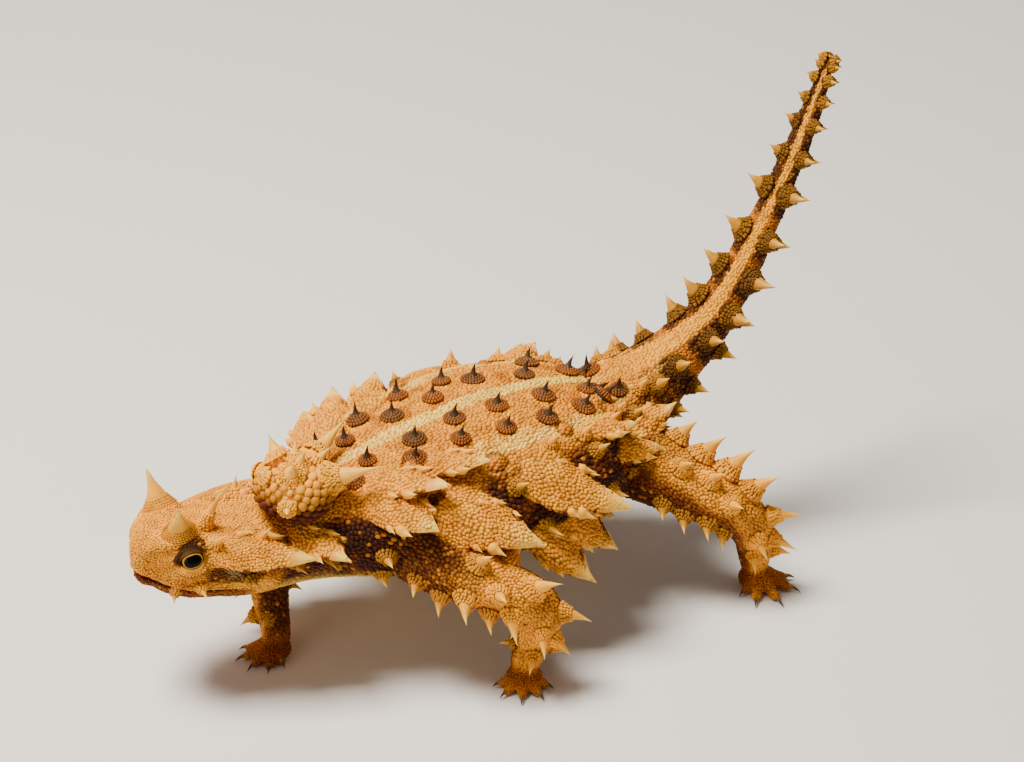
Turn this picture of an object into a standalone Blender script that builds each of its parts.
"""A thorny devil, life size, standing on its four feet with its tail raised. Metres, +Z up, head towards -X."""

import math
import random

import bmesh
import bpy
from mathutils import Matrix, Vector
from mathutils.bvhtree import BVHTree

MM = 0.001
GAP = 0.3 * MM
SEED = 11
FLAT = math.radians(0.6)

# The trunk's stations from the snout to the tail's tip, in millimetres:
# x, y, z of the axis, half width, rise above the axis, drop below it.
TRUNK = (
    (-61.8, 8.2, 23.8, 3.0, 6.8, 2.6),
    (-60.4, 7.9, 24.1, 5.4, 8.6, 4.4),
    (-57.0, 7.1, 24.8, 8.3, 8.2, 6.2),
    (-51.5, 5.9, 25.4, 9.2, 6.6, 8.0),
    (-45.5, 4.2, 25.4, 9.4, 5.2, 9.2),
    (-39.5, 2.6, 25.6, 9.0, 5.4, 9.2),
    (-33.0, 1.2, 26.4, 12.0, 8.0, 9.8),
    (-24.0, 0.0, 26.6, 17.0, 10.2, 10.8),
    (-12.0, -0.8, 26.8, 20.6, 11.6, 12.2),
    (0.0, -1.6, 26.8, 21.6, 12.2, 12.8),
    (12.0, -2.8, 26.4, 19.0, 11.4, 11.6),
    (22.0, -4.0, 26.0, 13.6, 9.6, 9.4),
    (28.8, -5.2, 29.6, 8.6, 7.4, 7.0),
    (36.0, -6.2, 34.0, 5.9, 5.6, 5.2),
    (43.2, -7.0, 39.2, 4.5, 4.3, 4.1),
    (49.1, -7.5, 46.0, 3.7, 3.5, 3.3),
    (54.2, -7.8, 53.6, 3.1, 3.0, 2.8),
    (59.3, -8.0, 62.1, 2.5, 2.4, 2.3),
    (64.7, -8.0, 72.8, 2.0, 1.9, 1.8),
    (68.0, -8.0, 80.1, 1.5, 1.45, 1.4),
    (69.2, -8.0, 83.1, 1.1, 1.05, 1.0),
)
# Each trunk node: where it starts and ends along the stations, and how many rings it has.
TRUNK_NODES = {
    "head": (0.0, 4.62, 11),
    "neck": (4.62, 6.05, 5),
    "chest": (6.05, 8.2, 7),
    "belly": (8.2, 9.75, 5),
    "hips": (9.75, 12.7, 8),
    "tail_1": (12.7, 14.4, 5),
    "tail_2": (14.4, 16.2, 5),
    "tail_3": (16.2, 18.0, 5),
    "tail_4": (18.0, 20.0, 5),
}

# Each limb's stations from inside the trunk to the wrist or ankle, in millimetres, laid out as TRUNK is.
LIMBS = {
    "left_arm": (
        (-23.0, -6.0, 25.5, 6.6, 6.6, 6.6),
        (-22.5, -14.5, 23.5, 5.8, 5.8, 5.8),
        (-18.0, -23.5, 20.5, 4.6, 4.8, 4.8),
        (-11.4, -29.6, 16.4, 3.9, 4.0, 4.0),
        (-10.4, -28.9, 10.0, 3.3, 3.2, 3.2),
        (-11.0, -27.0, 4.0, 2.6, 2.6, 2.6),
        (-11.2, -26.7, 2.2, 2.4, 2.4, 2.4),
    ),
    "right_arm": (
        (-25.0, 5.0, 25.5, 6.6, 6.6, 6.6),
        (-28.0, 11.0, 22.8, 5.6, 5.6, 5.6),
        (-32.0, 14.5, 18.8, 4.5, 4.6, 4.6),
        (-35.6, 12.6, 14.0, 3.8, 3.9, 3.9),
        (-38.0, 8.0, 8.6, 3.2, 3.1, 3.1),
        (-38.8, 5.6, 4.0, 2.6, 2.6, 2.6),
        (-38.9, 5.4, 2.2, 2.4, 2.4, 2.4),
    ),
    "left_leg": (
        (20.0, -8.0, 24.5, 7.0, 7.0, 7.0),
        (23.0, -14.0, 23.6, 6.6, 6.6, 6.6),
        (27.5, -22.5, 20.8, 5.2, 5.6, 5.6),
        (33.2, -29.6, 16.2, 4.2, 4.2, 4.2),
        (36.4, -29.4, 9.8, 3.3, 3.3, 3.3),
        (38.2, -28.0, 4.0, 2.6, 2.6, 2.6),
        (38.6, -27.8, 2.2, 2.4, 2.4, 2.4),
    ),
    "right_leg": (
        (20.0, 0.0, 24.5, 7.0, 7.0, 7.0),
        (19.0, 6.0, 23.6, 6.6, 6.6, 6.6),
        (15.5, 14.5, 20.8, 5.2, 5.6, 5.6),
        (12.5, 22.5, 16.4, 4.2, 4.2, 4.2),
        (16.0, 24.8, 9.8, 3.3, 3.3, 3.3),
        (20.0, 25.0, 4.0, 2.6, 2.6, 2.6),
        (20.4, 25.2, 2.2, 2.4, 2.4, 2.4),
    ),
}
LIMB_SPLITS = {"arm": ("upper_arm", "forearm", "hand"), "leg": ("thigh", "shank", "foot")}
ELBOW = 3.0
WRIST = 5.0

# How square a cross section is: 1 is an ellipse, less is squarer.
SQUARE = 0.86
SIDES = 20
TAIL_SIDES = {"tail_1": 14, "tail_2": 12, "tail_3": 10, "tail_4": 8}

EYE_RADIUS = 2.2
EYE_AT = (2.2, 66.0)
EYE_SUNK = 1.4
LID_RING = 2.4
LID_THICK = 0.75
LID_STRETCH = (1.15, 0.86, 1.1)
LID_OUT = 0.8

MOUTH_TILT = math.radians(-11.0)
MOUTH_DROP = 3.5
MOUTH_BACK = 7.6

LIP_BACK = 3.0
LIP_RISE = 0.7
LIP_HALF = 0.6
NOSTRIL_AT = (0.3, 62.0)
NOSTRIL_RADIUS = 0.5
EAR_AT = (3.95, 84.0)
EAR_SIZE = (1.5, 1.9, 0.9)

# Horns over the eyes: root and tip as forward, sideways and up from the head's middle, in millimetres.
HORN_ROOT = (0.4, 3.4, 4.4)
HORN_BEND = (0.8, 4.6, 9.0)
HORN_TIP = (1.6, 7.4, 13.2)
HORN_WIDTHS = ((0.0, 3.3, 2.5), (0.3, 3.0, 2.3), (0.48, 1.9, 1.5), (0.72, 0.9, 0.75))

KNOB_AT = (-38.6, -1.4, 35.2)
KNOB_SIZE = (6.6, 8.0, 5.0)
# Thorns on the knob: forward, sideways and up as a direction, length and half width of the base.
KNOB_THORNS = (
    (-0.55, 0.62, 0.62, 7.0, 2.5),
    (0.3, 0.55, 0.8, 4.2, 1.9),
    (0.8, 0.0, 0.6, 2.2, 1.2),
    (-0.1, 0.25, 1.0, 2.8, 1.4),
    (-0.75, 0.0, 0.7, 3.0, 1.4),
    (0.5, 0.85, 0.1, 2.2, 1.2),
)

# Large plates on both sides of the trunk: station and degrees from the top of the root's middle, how far the
# tip lies outwards, tailwards and down round the side, and the root's half length and half width.
PLATES = (
    (3.70, 62.0, 3.9, 10.1, 3.0, 6.2, 3.0),
    (5.33, 64.0, 4.0, 6.2, 6.0, 3.4, 2.1),
    (6.85, 56.0, 3.6, 4.6, 5.6, 4.8, 3.4),
    (7.62, 74.0, 4.8, 11.0, 6.8, 4.8, 3.6),
    (9.02, 68.0, 3.2, 11.3, 8.6, 5.2, 4.0),
    (7.02, 33.0, 3.0, 6.4, 6.4, 4.2, 3.2),
    (7.72, 32.0, 2.6, 5.6, 4.6, 3.8, 2.8),
    (8.75, 106.0, 8.6, 7.3, 5.0, 3.2, 2.4),
    (9.42, 104.0, 6.0, 5.5, 4.3, 2.8, 2.2),
    (10.20, 46.0, 3.2, 4.6, 2.4, 3.2, 2.2),
    (10.65, 70.0, 3.8, 5.4, 2.4, 3.0, 2.1),
    (11.60, 78.0, 4.3, 6.3, 1.0, 2.6, 1.8),
    (8.75, 36.0, 3.2, 4.6, 1.6, 3.2, 2.2),
    (7.30, 104.0, 4.4, 3.3, 1.6, 2.2, 1.7),
)
# Rows of small thorns along the trunk: degrees from the top, first and last station, spacing, length and half
# width.
ROWS = (
    (8.0, 6.9, 12.2, 8.2, 2.6, 1.3),
    (22.0, 6.5, 12.4, 8.2, 2.8, 1.35),
    (42.0, 9.2, 12.4, 7.8, 2.8, 1.3),
    (60.0, 6.9, 12.4, 9.0, 2.8, 1.3),
    (94.0, 6.6, 12.4, 8.2, 3.4, 1.4),
    (124.0, 6.6, 12.2, 8.6, 2.4, 1.3),
)
# Rows on the neck and head.
HEAD_ROWS = (
    (92.0, 4.95, 6.2, 4.6, 2.8, 1.1),
    (22.0, 2.9, 3.4, 3.6, 4.4, 1.15),
    (46.0, 2.9, 4.3, 4.0, 2.8, 1.1),
    (104.0, 1.4, 4.4, 3.0, 1.6, 0.8),
)
WHORLS = (
    (12.45, 4.0), (13.02, 4.2), (13.84, 4.4), (14.46, 4.6), (15.22, 4.8), (16.01, 4.4), (16.87, 4.2),
    (17.43, 3.2), (17.92, 2.6), (18.38, 2.2), (18.88, 1.9), (19.40, 1.7), (19.81, 1.5),
)
WHORL_ROWS = ((56.0, 1.0), (104.0, 0.8), (150.0, 0.6))
# The raised tail is turned about its own length, its back towards the left.
TAIL_TWIST = 34.0
TWIST_FROM = 12.0
TWIST_TO = 15.0

# How fast spines and plates narrow towards the tip.
SPINE_TAPER = 1.3
PLATE_TAPER = 0.75

# Thorns on a limb: station, degrees round it (90 is outwards), length and half width.
ARM_THORNS = (
    (2.72, 92.0, 5.6, 1.6),
    (1.35, 60.0, 3.4, 1.4),
    (1.9, 100.0, 3.6, 1.4),
    (2.3, 40.0, 3.8, 1.4),
    (2.3, 140.0, 3.2, 1.3),
    (1.25, 190.0, 2.8, 1.2),
    (1.6, 205.0, 3.0, 1.2),
    (1.95, 180.0, 4.2, 1.5),
    (2.3, 200.0, 3.0, 1.2),
    (2.62, 178.0, 4.2, 1.5),
    (3.2, 190.0, 3.2, 1.2),
    (3.3, 50.0, 4.0, 1.3),
    (3.55, 120.0, 3.4, 1.2),
    (3.8, 200.0, 2.8, 1.1),
    (3.9, 70.0, 3.2, 1.1),
    (3.6, 10.0, 3.2, 1.1),
    (4.3, 40.0, 2.6, 1.0),
    (4.4, 130.0, 2.8, 1.0),
    (4.5, 220.0, 2.2, 0.9),
)
LEG_THORNS = (
    (1.5, 60.0, 4.0, 1.5),
    (1.95, 62.0, 4.8, 1.7),
    (2.4, 58.0, 5.6, 1.8),
    (2.82, 60.0, 5.0, 1.6),
    (1.8, 110.0, 3.4, 1.3),
    (2.25, 100.0, 3.4, 1.3),
    (2.65, 120.0, 3.4, 1.3),
    (1.8, 190.0, 2.6, 1.2),
    (2.15, 195.0, 2.8, 1.2),
    (2.5, 188.0, 2.8, 1.2),
    (2.85, 192.0, 2.6, 1.1),
    (3.3, 40.0, 4.6, 1.3),
    (3.4, 110.0, 3.2, 1.2),
    (3.75, 60.0, 3.8, 1.2),
    (4.0, 130.0, 2.6, 1.0),
    (4.4, 40.0, 2.8, 1.0),
)

# Feet: heading of the middle toe in degrees, and each toe's turn and length in millimetres.
FEET = {
    "left_arm": (228.0, ((-66.0, 3.2), (-33.0, 4.0), (0.0, 4.3), (33.0, 4.0), (66.0, 3.2))),
    "right_arm": (200.0, ((-64.0, 3.2), (-32.0, 4.0), (0.0, 4.3), (30.0, 4.0), (58.0, 3.2))),
    "left_leg": (262.0, ((-66.0, 3.6), (-38.0, 5.2), (-6.0, 5.6), (32.0, 4.8), (68.0, 3.6))),
    "right_leg": (118.0, ((-68.0, 3.6), (-32.0, 4.8), (6.0, 5.6), (38.0, 5.2), (66.0, 3.6))),
}

# Rings of a toe and of its claw: share of the toe's length, height and half width.
TOE_RINGS = ((0.0, 1.3, 1.25), (0.4, 1.35, 1.15), (0.8, 0.75, 0.8))
CLAW_RINGS = ((0.68, 0.9, 0.5), (1.05, 0.85, 0.36))

# Half length, half width and height of a palm, how far it lies before the wrist, and where its toes start.
PALM = (3.4, 3.1, 2.9)
PALM_SCALE = {"arm": 1.0, "leg": 1.12}
PALM_FORWARD = 1.2
TOE_START = 1.4

COLOURS = {
    "hide": (0.86, 0.52, 0.22),
    "horn": (0.80, 0.50, 0.24),
    "eye": (0.05, 0.03, 0.02),
}
ROUGHNESS = {"hide": 0.8, "horn": 0.7, "eye": 0.15}
WORLD_AXES = (Vector((1, 0, 0)), Vector((0, 1, 0)), Vector((0, 0, 1)))


def spline(rows, u):
    """The smooth curve's values at a station between the table's rows."""
    last = len(rows) - 1
    u = min(max(u, 0.0), float(last))
    low = min(int(u), last - 1)
    t = u - low
    before, start, end, after = (rows[min(max(low + k, 0), last)] for k in (-1, 0, 1, 2))
    values = []
    for a, b, c, d in zip(before, start, end, after):
        values.append(0.5 * (2 * b + (c - a) * t + (2 * a - 5 * b + 4 * c - d) * t * t
                             + (3 * b - a - 3 * c + d) * t ** 3))
    return values


def squared(value):
    return math.copysign(abs(value) ** SQUARE, value)


class Tube:
    """A length of body round a bent axis, its surface found from the stations of a table."""

    def __init__(self, rows, right):
        self.rows = [[value * MM for value in row] for row in rows]
        self.right = Vector(right)
        self.last = len(rows) - 1

    def centre(self, u):
        return Vector(spline(self.rows, u)[:3])

    def frame(self, u):
        """The directions along the axis, sideways and up."""
        along = (self.centre(u + 0.05) - self.centre(u - 0.05)).normalized()
        side = along.cross(self.right).normalized()
        return along, side, side.cross(along)

    def point(self, u, degrees, grow=0.0):
        x, y, z, width, rise, drop = spline(self.rows, u)
        side, up = self.frame(u)[1:]
        sine = squared(math.sin(math.radians(degrees)))
        cosine = squared(math.cos(math.radians(degrees)))
        height = rise if cosine > 0 else drop
        return Vector((x, y, z)) + side * (width + grow) * sine + up * (height + grow) * cosine

    def normal(self, u, degrees):
        round_it = self.point(u, degrees + 4.0) - self.point(u, degrees - 4.0)
        along = self.point(u + 0.1, degrees) - self.point(u - 0.1, degrees)
        out = along.cross(round_it).normalized()
        return out if out.dot(self.point(u, degrees) - self.centre(u)) > 0 else -out

    def step(self, u):
        """How many stations a millimetre is at this place."""
        return 0.1 / max((self.centre(u + 0.05) - self.centre(u - 0.05)).length / MM, 1e-6)


TRUNK_TUBE = Tube(TRUNK, (0, 0, 1))
LIMB_TUBES = {name: Tube(rows, (1, 0, 0)) for name, rows in LIMBS.items()}


def clear_scene():
    for thing in list(bpy.data.objects):
        bpy.data.objects.remove(thing)


def make_collection(name):
    collection = bpy.data.collections.new(name)
    bpy.context.scene.collection.children.link(collection)
    return collection


def mesh_object(name, verts, faces, collection):
    """A closed mesh object, its faces turned outwards."""
    mesh = bpy.data.meshes.new(name)
    mesh.from_pydata([tuple(v) for v in verts], [], faces)
    body = bmesh.new()
    body.from_mesh(mesh)
    bmesh.ops.triangulate(body, faces=body.faces[:])
    bmesh.ops.recalc_face_normals(body, faces=body.faces[:])
    body.to_mesh(mesh)
    body.free()
    thing = bpy.data.objects.new(name, mesh)
    collection.objects.link(thing)
    return thing


def skinned(rings, tip=None):
    """Points and faces of a closed tube through rings of points, with an optional pointed end."""
    sides = len(rings[0])
    verts = [point for ring in rings for point in ring]
    faces = []
    for low in range(len(rings) - 1):
        for k in range(sides):
            a = low * sides + k
            b = low * sides + (k + 1) % sides
            faces.append((a, b, b + sides, a + sides))
    faces.append(tuple(reversed(range(sides))))
    top = (len(rings) - 1) * sides
    if tip is None:
        faces.append(tuple(range(top, top + sides)))
    else:
        verts.append(tip)
        for k in range(sides):
            faces.append((top + k, top + (k + 1) % sides, len(verts) - 1))
    return verts, faces


def stations(start, stop, rings):
    return [start + (stop - start) * k / (rings - 1) for k in range(rings)]


def tube_piece(name, tube, start, stop, rings, sides, collection, trims=(0.0, 0.0), caps=(False, False)):
    """One length of a tube, its ends drawn in by the trims, or rounded off by a cap."""
    places = stations(start, stop, rings)
    loops = []
    for k, u in enumerate(places):
        along = tube.frame(u)[0]
        shift = Vector()
        if k == 0:
            shift = along * trims[0]
        if k == rings - 1:
            shift = -along * trims[1]
        loops.append([tube.point(u, 360.0 * s / sides) + shift for s in range(sides)])
    verts, faces = skinned(loops)
    if caps[0] or caps[1]:
        verts, faces = rounded_ends(tube, verts, faces, places, sides, caps)
    return mesh_object(name, verts, faces, collection)


def rounded_ends(tube, verts, faces, places, sides, caps):
    """Replace flat end faces by a low point, so that a blunt end is rounded."""
    flat = faces[-2:]
    faces = faces[:-2]
    for end, (cap, face) in enumerate(zip(caps, flat)):
        if not cap:
            faces.append(face)
            continue
        u = places[-1] if end else places[0]
        along = tube.frame(u)[0]
        reach = spline(tube.rows, u)[3] * 0.5
        verts.append(tube.centre(u) + along * (reach if end else -reach))
        for k in range(sides):
            faces.append((face[k], face[(k + 1) % sides], len(verts) - 1))
    return verts, faces


def shaped(name, body, axes, size, centre, collection):
    """An object from a unit primitive, stretched along three directions and set in place."""
    rows = [[axes[k][row] * size[k] for k in range(3)] + [centre[row]] for row in range(3)]
    stretch = Matrix(rows + [[0, 0, 0, 1]])
    bmesh.ops.transform(body, matrix=stretch, verts=body.verts[:])
    bmesh.ops.triangulate(body, faces=body.faces[:])
    bmesh.ops.recalc_face_normals(body, faces=body.faces[:])
    mesh = bpy.data.meshes.new(name)
    body.to_mesh(mesh)
    body.free()
    thing = bpy.data.objects.new(name, mesh)
    collection.objects.link(thing)
    return thing


def ellipsoid(name, centre, size, collection, rings=8, sides=12, axes=WORLD_AXES):
    """A ball stretched along three directions."""
    body = bmesh.new()
    bmesh.ops.create_uvsphere(body, u_segments=sides, v_segments=rings, radius=1.0)
    return shaped(name, body, axes, size, centre, collection)


def box_piece(name, centre, axes, size, collection):
    """A box given by its centre, three directions and its half sizes."""
    body = bmesh.new()
    bmesh.ops.create_cube(body, size=2.0)
    return shaped(name, body, axes, size, centre, collection)


def apply_modifiers(thing):
    depsgraph = bpy.context.evaluated_depsgraph_get()
    mesh = bpy.data.meshes.new_from_object(thing.evaluated_get(depsgraph))
    thing.modifiers.clear()
    thing.data = mesh


def cut(thing, cutter, operation="DIFFERENCE", keep_cutter=False, solver="EXACT"):
    """Cut one object by another, or keep what both share."""
    modifier = thing.modifiers.new("cut", "BOOLEAN")
    modifier.operation = operation
    modifier.solver = solver
    modifier.object = cutter
    apply_modifiers(thing)
    if not keep_cutter:
        bpy.data.objects.remove(cutter)


def fuse(thing, pieces, solver="MANIFOLD"):
    """Join pieces to an object with one union, then drop them."""
    if not pieces:
        return
    holder = bpy.data.collections.new("pieces")
    bpy.context.scene.collection.children.link(holder)
    for piece in pieces:
        for owner in list(piece.users_collection):
            owner.objects.unlink(piece)
        holder.objects.link(piece)
    modifier = thing.modifiers.new("join", "BOOLEAN")
    modifier.operation = "UNION"
    modifier.solver = solver
    modifier.operand_type = "COLLECTION"
    modifier.collection = holder
    apply_modifiers(thing)
    for piece in list(holder.objects):
        bpy.data.objects.remove(piece)
    bpy.data.collections.remove(holder)


def closed(body):
    return all(len(edge.link_faces) == 2 for edge in body.edges)


def cleaned(mesh, merge, flat):
    """A copy of a mesh with its doubled points merged and, if asked, its flat faces joined."""
    body = bmesh.new()
    body.from_mesh(mesh)
    if merge:
        bmesh.ops.remove_doubles(body, verts=body.verts[:], dist=merge)
        bmesh.ops.dissolve_degenerate(body, edges=body.edges[:], dist=merge / 4)
    if flat:
        bmesh.ops.dissolve_limit(body, angle_limit=flat, verts=body.verts[:], edges=body.edges[:])
    bmesh.ops.triangulate(body, faces=body.faces[:])
    return body


def keep_largest(thing):
    """Keep an object's largest closed surface, in clean triangles."""
    for merge, flat in ((0.02 * MM, FLAT), (0.005 * MM, FLAT), (0.02 * MM, 0.0), (0.0, 0.0)):
        body = cleaned(thing.data, merge, flat)
        if closed(body):
            break
        body.free()
    else:
        raise ValueError(f"{thing.name} isn't closed")
    left = set(body.faces)
    groups = []
    while left:
        stack = [left.pop()]
        group = []
        while stack:
            face = stack.pop()
            group.append(face)
            for edge in face.edges:
                for other in edge.link_faces:
                    if other in left:
                        left.discard(other)
                        stack.append(other)
        groups.append(group)
    groups.sort(key=lambda group: -sum(face.calc_area() for face in group))
    scraps = [face for group in groups[1:] for face in group]
    if scraps:
        bmesh.ops.delete(body, geom=scraps, context="FACES")
    loose = [vert for vert in body.verts if not vert.link_faces]
    bmesh.ops.delete(body, geom=loose, context="VERTS")
    body.to_mesh(thing.data)
    body.free()


class Thorn:
    """One spine or plate: its root, its tip, the way it bends, and the halves of its root along and across."""

    def __init__(self, root, out, reach, bend, along, across, sides=4, bands=1, taper=SPINE_TAPER):
        self.root = Vector(root)
        self.out = Vector(out).normalized()
        self.reach = Vector(reach)
        self.bend = Vector(bend)
        self.along = along
        self.across = across
        self.sides = sides
        self.bands = bands
        self.taper = taper
        self.sunk = 0.8 * MM + 0.25 * across

    def axis(self, t):
        if t < 0:
            return self.root - self.out * self.sunk
        return self.root + (self.reach - self.bend) * t + self.bend * t * t

    def width(self, t):
        """The share of the root's width left at a share of the height."""
        return 1.0 if t < 0 else (1.0 - t) ** self.taper

    def ways(self):
        """The directions along and across the root."""
        flat = self.reach - self.out * self.reach.dot(self.out)
        flat = flat.normalized() if flat.length > 1e-5 else self.out.orthogonal()
        return flat, self.out.cross(flat)

    def samples(self):
        """Balls along the thorn, for keeping it clear of other things."""
        way = self.ways()[0]
        balls = []
        for t in (-1.0, 0.0, 0.2, 0.4, 0.6, 0.8, 1.0):
            wide = self.across * self.width(t)
            spare = max(self.along - self.across, 0.0) * self.width(t)
            for share in (-1.0, 0.0, 1.0) if spare > 0.3 * MM else (0.0,):
                balls.append((self.axis(t) + way * spare * share, wide))
        return balls

    def build(self, name, collection):
        way, cross = self.ways()
        loops = []
        for t in [-1.0] + [(k + 0.7) / (self.bands + 1.0) for k in range(self.bands)]:
            share = self.width(t)
            loops.append([self.axis(t) + way * self.along * share * math.cos(math.tau * s / self.sides)
                          + cross * self.across * share * math.sin(math.tau * s / self.sides)
                          for s in range(self.sides)])
        verts, faces = skinned(loops, self.axis(1.0))
        return mesh_object(name, verts, faces, collection)


def surface_thorn(tube, u, degrees, reach, along, across, sides=4, bands=1, taper=SPINE_TAPER):
    """A thorn rooted on a tube; its reach is outwards, towards the tube's far end and round it. Millimetres."""
    way = (tube.point(u + 0.1, degrees) - tube.point(u - 0.1, degrees)).normalized()
    out = tube.normal(u, degrees)
    turn = (tube.point(u, degrees + 3.0) - tube.point(u, degrees - 3.0)).normalized()
    tip = (out * reach[0] + way * reach[1] + turn * reach[2] * math.copysign(1.0, degrees)) * MM
    bend = (way * reach[1] * 0.4 - out * reach[0] * 0.2) * MM
    return Thorn(tube.point(u, degrees), out, tip, bend, along * MM, across * MM, sides, bands, taper)


class Placing:
    """Keeps every thorn clear of the other nodes and of the floor."""

    def __init__(self, nodes):
        self.trees = {}
        self.thorns = {name: [] for name in nodes}
        for name, thing in nodes.items():
            body = bmesh.new()
            body.from_mesh(thing.data)
            self.trees[name] = BVHTree.FromBMesh(body)
            body.free()

    def clear_of_nodes(self, node, thorn):
        for centre, radius in thorn.samples():
            if centre.z - radius < GAP:
                return False
            for other, tree in self.trees.items():
                if other == node:
                    continue
                spot, normal, _, distance = tree.find_nearest(centre)
                if distance < radius + 1.6 * GAP or (centre - spot).dot(normal) < -0.9 * distance:
                    return False
        return True

    def clear_of_thorns(self, node, thorn):
        for other, placed in self.thorns.items():
            for one in placed:
                apart = (one.root - thorn.root).length
                near = 0.8 * (one.across + thorn.across) + 0.35 * abs(one.along - thorn.along)
                if other == node and apart < near:
                    return False
                if other == node or apart > one.reach.length + thorn.reach.length + 6 * MM:
                    continue
                for centre, radius in thorn.samples():
                    for place, size in one.samples():
                        if (centre - place).length < radius + size + 1.6 * GAP:
                            return False
        return True

    def offer(self, node, thorn):
        """Keep a thorn if it is clear of everything else."""
        if self.clear_of_nodes(node, thorn) and self.clear_of_thorns(node, thorn):
            self.thorns[node].append(thorn)
            return True
        return False

    def add(self, node, tube, u, degrees, reach, along, across, sides=4, bands=1, taper=SPINE_TAPER):
        """Set a thorn where it was asked for, or as near and as long as it can be."""
        step = tube.step(u)
        for shift in (0.0, 0.8, -0.8, 1.6, -1.6):
            for share in (1.0, 0.82, 0.65):
                cut_reach = [value * share for value in reach]
                place = u + shift * step
                thorn = surface_thorn(tube, place, degrees, cut_reach, along * share, across, sides, bands, taper)
                if self.offer(node, thorn):
                    return True
        return False


def tail_twist(u):
    """How far the tail is turned about its own length at a station, in degrees."""
    share = min(max((u - TWIST_FROM) / (TWIST_TO - TWIST_FROM), 0.0), 1.0)
    return TAIL_TWIST * share * share * (3.0 - 2.0 * share)


def node_at(u):
    for name, (start, stop, _) in TRUNK_NODES.items():
        if start <= u < stop:
            return name
    return "tail_4"


def head_way(forward, sideways, up, side=1):
    """A place given from the head's middle, forward, sideways and up, in millimetres."""
    along, left, top = TRUNK_TUBE.frame(2.1)
    place = TRUNK_TUBE.centre(2.1) - along * forward * MM + left * sideways * side * MM
    return place + Vector((0, 0, up * MM))


def eye_place(side):
    u, degrees = EYE_AT
    out = TRUNK_TUBE.normal(u, degrees * side)
    return TRUNK_TUBE.point(u, degrees * side) - out * EYE_SUNK * MM, out


def eye_axes(out):
    way = (TRUNK_TUBE.frame(EYE_AT[0])[0]).copy()
    way = (way - out * way.dot(out)).normalized()
    return way, out.cross(way), out


def lid_ring(side, collection):
    """A ring of lid round an eye, longer than it is high."""
    centre, out = eye_place(side)
    bpy.ops.mesh.primitive_torus_add(major_segments=12, minor_segments=5, major_radius=LID_RING,
                                     minor_radius=LID_THICK)
    ring = bpy.context.object
    body = bmesh.new()
    body.from_mesh(ring.data)
    bpy.data.objects.remove(ring)
    stretch = [value * MM for value in LID_STRETCH]
    return shaped("lid", body, eye_axes(out), stretch, centre + out * LID_OUT * MM, collection)


def mouth_box(name, grow, collection):
    """The block below the line of the mouth that parts the jaw from the head."""
    along = TRUNK_TUBE.frame(2.0)[0]
    along.z = 0
    along.normalize()
    side = along.cross(Vector((0, 0, 1)))
    tilt = (along * math.cos(MOUTH_TILT) + Vector((0, 0, math.sin(MOUTH_TILT)))).normalized()
    up = side.cross(tilt)
    deep = 10.0 * MM
    long = 20.0 * MM
    centre = TRUNK_TUBE.centre(2.0) + tilt * (MOUTH_BACK * MM - long) - up * (MOUTH_DROP * MM + deep)
    return box_piece(name, centre, (tilt, side, up), (long + grow, long, deep + grow), collection)


def mouth_height(spot):
    """The height of the line of the mouth at a place along the head."""
    along = TRUNK_TUBE.frame(2.0)[0]
    along.z = 0
    back = (spot - TRUNK_TUBE.centre(2.0)).dot(along.normalized())
    return TRUNK_TUBE.centre(2.0).z - MOUTH_DROP * MM + back * math.tan(MOUTH_TILT)


def mouth_spot(u, side, rise):
    """The place on the head's side, at a station, that lies a little above the line of the mouth."""
    low, high = 20.0, 175.0
    for _ in range(30):
        middle = 0.5 * (low + high)
        spot = TRUNK_TUBE.point(u, middle * side)
        if spot.z > mouth_height(spot) + rise:
            low = middle
        else:
            high = middle
    return TRUNK_TUBE.point(u, low * side), TRUNK_TUBE.normal(u, low * side)


def lip(collection):
    """A rim along the upper edge of the mouth, from one corner round the snout to the other."""
    steps = 6
    spots = []
    for k in range(steps, 0, -1):
        spots.append(mouth_spot(LIP_BACK * (k / steps) ** 1.5, 1, LIP_RISE * MM))
    front = TRUNK_TUBE.centre(0.0) - TRUNK_TUBE.frame(0.0)[0] * 1.2 * MM
    front.z = mouth_height(front) + LIP_RISE * MM
    spots.append((front, -TRUNK_TUBE.frame(0.0)[0]))
    for k in range(1, steps + 1):
        spots.append(mouth_spot(LIP_BACK * (k / steps) ** 1.5, -1, LIP_RISE * MM))
    loops = []
    for spot, out in spots:
        loop = []
        for s in range(5):
            turn = math.tau * s / 5
            loop.append(spot + (out * math.cos(turn) + Vector((0, 0, math.sin(turn)))) * LIP_HALF * MM)
        loops.append(loop)
    return mesh_object("lip", *skinned(loops), collection)


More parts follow.
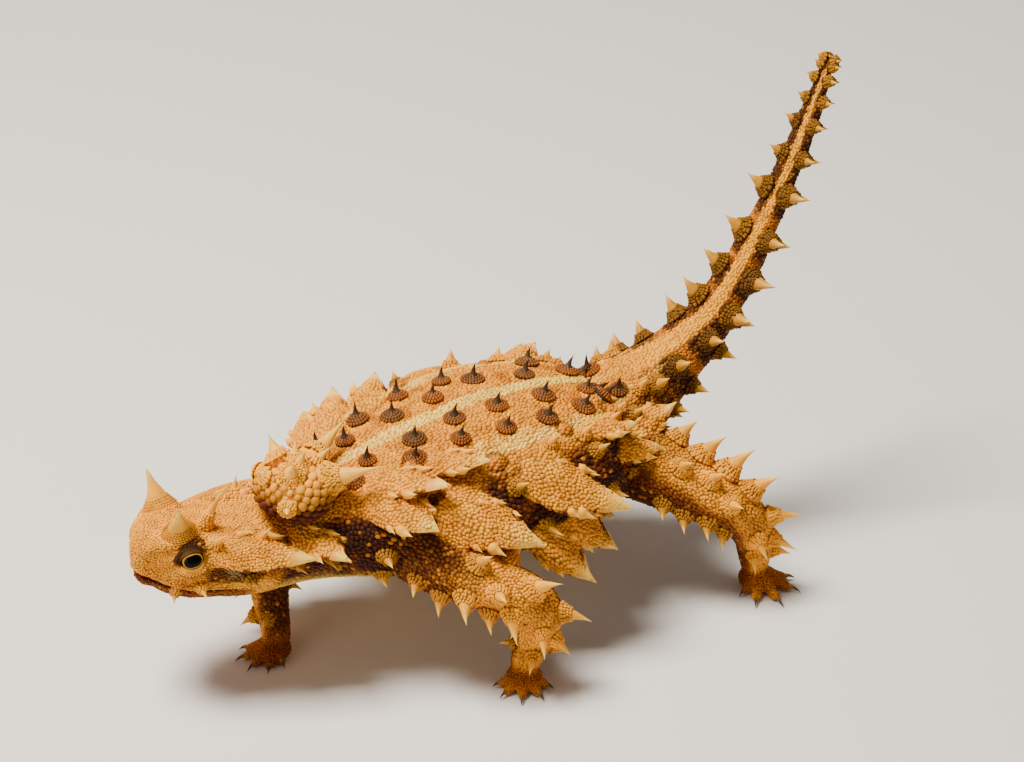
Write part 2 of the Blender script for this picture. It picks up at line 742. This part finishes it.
def make_head(parts, cutters):
    start, stop, rings = TRUNK_NODES["head"]
    head = tube_piece("head", TRUNK_TUBE, start, stop, rings, SIDES, parts, (0, GAP / 2), caps=(True, False))
    jaw = tube_piece("jaw", TRUNK_TUBE, start, stop, rings, SIDES, parts, (0, GAP / 2), caps=(True, False))
    fuse(head, [lid_ring(1, parts), lid_ring(-1, parts), lip(parts)])
    # The head has many small cuts close together, which the exact solver can leave open.
    cut(head, mouth_box("cutter", GAP / 2, cutters), solver="MANIFOLD")
    cut(jaw, mouth_box("cutter", -GAP / 2, cutters), "INTERSECT", solver="MANIFOLD")
    eyes = {}
    for side, word in ((1, "left"), (-1, "right")):
        centre, out = eye_place(side)
        radius = EYE_RADIUS * MM
        ball = ellipsoid("eye_" + word, centre, (radius,) * 3, parts, 8, 12, eye_axes(out))
        socket = ellipsoid("cutter", centre, (radius + GAP,) * 3, cutters, 8, 12, eye_axes(out))
        cut(head, socket, solver="MANIFOLD")
        eyes["eye_" + word] = ball
        nose = TRUNK_TUBE.point(NOSTRIL_AT[0], NOSTRIL_AT[1] * side)
        cut(head, ellipsoid("cutter", nose, (NOSTRIL_RADIUS * MM,) * 3, cutters, 5, 6), solver="MANIFOLD")
        ear = TRUNK_TUBE.point(EAR_AT[0], EAR_AT[1] * side)
        ear_out = TRUNK_TUBE.normal(EAR_AT[0], EAR_AT[1] * side)
        sizes = [value * MM for value in EAR_SIZE]
        cut(head, ellipsoid("cutter", ear, sizes, cutters, 5, 8, eye_axes(ear_out)), solver="MANIFOLD")
    keep_largest(head)
    keep_largest(jaw)
    return {"head": head, "jaw": jaw, **eyes}


def bezier(a, b, c, t):
    return a * (1 - t) ** 2 + b * 2 * t * (1 - t) + c * t * t


def make_horn(side, word, parts, cutters, skin):
    """A curved horn over one eye, seated on the head with a thin gap."""
    ends = [head_way(*place, side=side) for place in (HORN_ROOT, HORN_BEND, HORN_TIP)]
    loops = []
    for t, along, across in HORN_WIDTHS:
        middle = bezier(*ends, t)
        way = (bezier(*ends, t + 0.02) - bezier(*ends, t - 0.02)).normalized()
        front = TRUNK_TUBE.frame(2.1)[0]
        front = (front - way * front.dot(way)).normalized()
        cross = way.cross(front)
        loops.append([middle + (front * along * math.cos(math.tau * s / 10)
                                + cross * across * math.sin(math.tau * s / 10)) * MM for s in range(10)])
    verts, faces = skinned(loops, ends[2])
    horn = mesh_object("horn_" + word, verts, faces, parts)
    cut(horn, skin, keep_cutter=True)
    centre, out = eye_place(side)
    reach = (LID_RING + LID_THICK) * LID_STRETCH[0] * MM + GAP * 1.3
    cut(horn, ellipsoid("cutter", centre + out * LID_OUT * MM, (reach,) * 3, cutters, 8, 12, eye_axes(out)))
    keep_largest(horn)
    return horn


def make_knob(parts, skin):
    """The round knob on the nape, with its two tall spines."""
    centre = Vector(KNOB_AT) * MM
    along, left, _ = TRUNK_TUBE.frame(5.0)
    axes = (along, left, along.cross(left) * -1)
    knob = ellipsoid("nape_knob", centre, [value * MM for value in KNOB_SIZE], parts, 9, 16, axes)
    cut(knob, skin, keep_cutter=True)
    keep_largest(knob)
    return knob


def add_knob_thorns(placing):
    """Spines and blunt thorns on the knob: two large ones at its sides and low ones over the top."""
    centre = Vector(KNOB_AT) * MM
    along, left, _ = TRUNK_TUBE.frame(5.0)
    for forward, sideways, rise, length, size in KNOB_THORNS:
        for side in (1, -1) if sideways else (1,):
            aim = (-along * forward + left * sideways * side + Vector((0, 0, rise))).normalized()
            shrunk = Vector((aim.dot(along) / KNOB_SIZE[0], aim.dot(left) / KNOB_SIZE[1], aim.z / KNOB_SIZE[2]))
            root = centre + aim * MM / shrunk.length
            for share in (1.0, 0.8, 0.6):
                reach = (aim + along * 0.2) * length * share * MM
                thorn = Thorn(root, aim, reach, reach * 0.1, size * share * MM, size * share * MM, sides=5)
                if placing.offer("nape_knob", thorn):
                    break


def make_trunk(parts):
    nodes = {}
    for name, (start, stop, rings) in TRUNK_NODES.items():
        if name == "head":
            continue
        sides = TAIL_SIDES.get(name, SIDES)
        last = name == "tail_4"
        trims = (GAP / 2, 0.0 if last else GAP / 2)
        nodes[name] = tube_piece(name, TRUNK_TUBE, start, stop, rings, sides, parts, trims, caps=(False, last))
    return nodes


def trunk_skin(name, first, last, grow, collection):
    """The trunk's surface, moved outwards, through the same rings as the nodes have."""
    places = []
    for start, stop, rings in TRUNK_NODES.values():
        places += [u for u in stations(start, stop, rings) if first <= u <= last and u not in places]
    loops = [[TRUNK_TUBE.point(u, 360.0 * s / SIDES, grow) for s in range(SIDES)] for u in sorted(places)]
    verts, faces = skinned(loops)
    return mesh_object(name, verts, faces, collection)


def make_limb(name, parts, skin):
    """The upper and lower lengths of a limb, the upper one seated on the trunk."""
    tube = LIMB_TUBES[name]
    side, kind = name.split("_")
    upper_name, lower_name, _ = LIMB_SPLITS[kind]
    upper = tube_piece(f"{upper_name}_{side}", tube, 0.0, ELBOW, 8, 12, parts, (0, GAP / 2))
    cut(upper, skin, keep_cutter=True)
    keep_largest(upper)
    lower = tube_piece(f"{lower_name}_{side}", tube, ELBOW, WRIST, 6, 12, parts, (GAP / 2, GAP / 2))
    return {upper.name: upper, lower.name: lower}


def on_floor(point):
    """The same place, raised to the floor if it lies under it."""
    return Vector((point.x, point.y, max(point.z, 0.0)))


def toe(start, heading, length, collection):
    """One short toe with a long claw, arched from the palm down to the floor, its underside flat."""
    way = Vector((math.cos(heading), math.sin(heading), 0))
    cross = Vector((-way.y, way.x, 0))
    up = Vector((0, 0, 1))
    loops = []
    for t, height, half in TOE_RINGS:
        middle = start + way * length * t * MM + up * height * MM
        loop = []
        for k in range(5):
            turn = math.tau * (k + 0.5) / 5
            loop.append(on_floor(middle + (cross * math.cos(turn) + up * math.sin(turn)) * half * MM))
        loops.append(loop)
    claw = []
    for t, height, half in CLAW_RINGS:
        middle = start + way * length * t * MM + up * height * MM
        claw.append([on_floor(middle + (cross * math.cos(math.tau * s / 4) + up * math.sin(math.tau * s / 4))
                              * half * MM) for s in range(4)])
    point = start + way * length * 1.32 * MM + up * 0.2 * MM
    return [mesh_object("toe", *skinned(loops), collection),
            mesh_object("claw", *skinned(claw, point), collection)]


def palm_piece(centre, axes, size, collection):
    """The pad of a hand or foot, a low dome with a flat sole."""
    loops = []
    for height, share in ((0.0, 0.86), (0.34, 1.0), (0.72, 0.72)):
        loops.append([centre + (axes[0] * size[0] * math.cos(math.tau * s / 10)
                                + axes[1] * size[1] * math.sin(math.tau * s / 10)) * share
                      + Vector((0, 0, size[2] * height)) for s in range(10)])
    return mesh_object("palm", *skinned(loops, centre + Vector((0, 0, size[2]))), collection)


def make_foot(name, parts):
    """A hand or foot, from the wrist to the claws, its sole flat on the floor."""
    tube = LIMB_TUBES[name]
    side, kind = name.split("_")
    foot = tube_piece(f"{LIMB_SPLITS[kind][2]}_{side}", tube, WRIST, tube.last, 2, 10, parts, (GAP / 2, 0))
    heading, toes = FEET[name]
    heading = math.radians(heading)
    way = Vector((math.cos(heading), math.sin(heading), 0))
    end = tube.centre(tube.last)
    palm = Vector((end.x, end.y, 0)) + way * PALM_FORWARD * MM
    size = PALM_SCALE[kind]
    cross = Vector((-way.y, way.x, 0))
    sizes = (PALM[0] * size * MM, PALM[1] * size * MM, PALM[2] * MM)
    pieces = [palm_piece(palm, (way, cross), sizes, parts)]
    for turn, length in toes:
        direction = heading + math.radians(turn)
        start = palm + Vector((math.cos(direction), math.sin(direction), 0)) * TOE_START * size * MM
        pieces += toe(start, direction, length, parts)
    fuse(foot, pieces)
    keep_largest(foot)
    return {foot.name: foot}


def add_thorns(placing):
    """Every spine and plate, the largest first, so that small ones give way."""
    draw = random.Random(SEED)
    for u, degrees, out, back, turn, along, across in PLATES:
        for side in (1, -1):
            reach = (out, back, turn)
            placing.add(node_at(u), TRUNK_TUBE, u, degrees * side, reach, along, across, 8, 2, PLATE_TAPER)
    for name, tube in LIMB_TUBES.items():
        side, kind = name.split("_")
        upper, lower, _ = LIMB_SPLITS[kind]
        for u, degrees, length, size in ARM_THORNS if kind == "arm" else LEG_THORNS:
            node = f"{upper if u < ELBOW else lower}_{side}"
            turn = degrees if side == "left" else -degrees
            placing.add(node, tube, u, turn, (length, length * 0.35, 0.0), size * 1.2, size)
    for u, longest in WHORLS:
        for degrees, share in WHORL_ROWS:
            for side in (1, -1):
                swing = draw.uniform(-4, 4)
                length = longest * share * draw.uniform(0.9, 1.08)
                size = max(0.4 * length, 0.7)
                reach = (length, length * 0.2, 0.0)
                turn = degrees * side + tail_twist(u) + swing
                placing.add(node_at(u), TRUNK_TUBE, u, turn, reach, size, size * 0.9)
    for rows in (ROWS, HEAD_ROWS):
        for degrees, first, last, spacing, length, size in rows:
            for side in (1, -1):
                u = first
                while u <= last:
                    swing = draw.uniform(-4, 4)
                    lean = length * draw.uniform(0.85, 1.15)
                    placing.add(node_at(u), TRUNK_TUBE, u, (degrees + swing) * side, (lean, lean * 0.3, 0.0),
                                size, size * 0.85)
                    u += TRUNK_TUBE.step(u) * spacing * draw.uniform(0.92, 1.08)


def material(name, colour, roughness):
    made = bpy.data.materials.new(name)
    made.use_nodes = True
    shader = made.node_tree.nodes["Principled BSDF"]
    shader.inputs["Base Color"].default_value = (*colour, 1.0)
    shader.inputs["Roughness"].default_value = roughness
    shader.inputs["Metallic"].default_value = 0.0
    made.diffuse_color = (*colour, 1.0)
    return made


def main():
    clear_scene()
    parts = make_collection("thorny_devil")
    cutters = make_collection("cutters")
    nodes = make_head(parts, cutters)
    nodes.update(make_trunk(parts))
    skin = trunk_skin("skin_cutter", 0.0, 12.7, GAP, cutters)
    nodes["horn_left"] = make_horn(1, "left", parts, cutters, skin)
    nodes["horn_right"] = make_horn(-1, "right", parts, cutters, skin)
    nodes["nape_knob"] = make_knob(parts, skin)
    for name in LIMBS:
        nodes.update(make_limb(name, parts, skin))
        nodes.update(make_foot(name, parts))
    placing = Placing(nodes)
    add_knob_thorns(placing)
    add_thorns(placing)
    for name, thorns in placing.thorns.items():
        fuse(nodes[name], [thorn.build("thorn", parts) for thorn in thorns])
        keep_largest(nodes[name])
    bpy.data.objects.remove(skin)
    finish(nodes, cutters)


def finish(nodes, cutters):
    """Colour the nodes, set the model on the middle of its own footprint and hide the cutters."""
    looks = {name: material(name, colour, ROUGHNESS[name]) for name, colour in COLOURS.items()}
    low = Vector((math.inf,) * 3)
    high = Vector((-math.inf,) * 3)
    for thing in nodes.values():
        for vert in thing.data.vertices:
            low = Vector(map(min, low, vert.co))
            high = Vector(map(max, high, vert.co))
    shift = Vector((-(low.x + high.x) / 2, -(low.y + high.y) / 2, 0))
    for name, thing in nodes.items():
        thing.data.transform(Matrix.Translation(shift))
        kind = name.split("_")[0]
        thing.data.materials.clear()
        thing.data.materials.append(looks[kind if kind in looks else "hide"])
    for thing in cutters.objects:
        thing.hide_render = True
        thing.display_type = "WIRE"


if __name__ == "__main__":
    main()
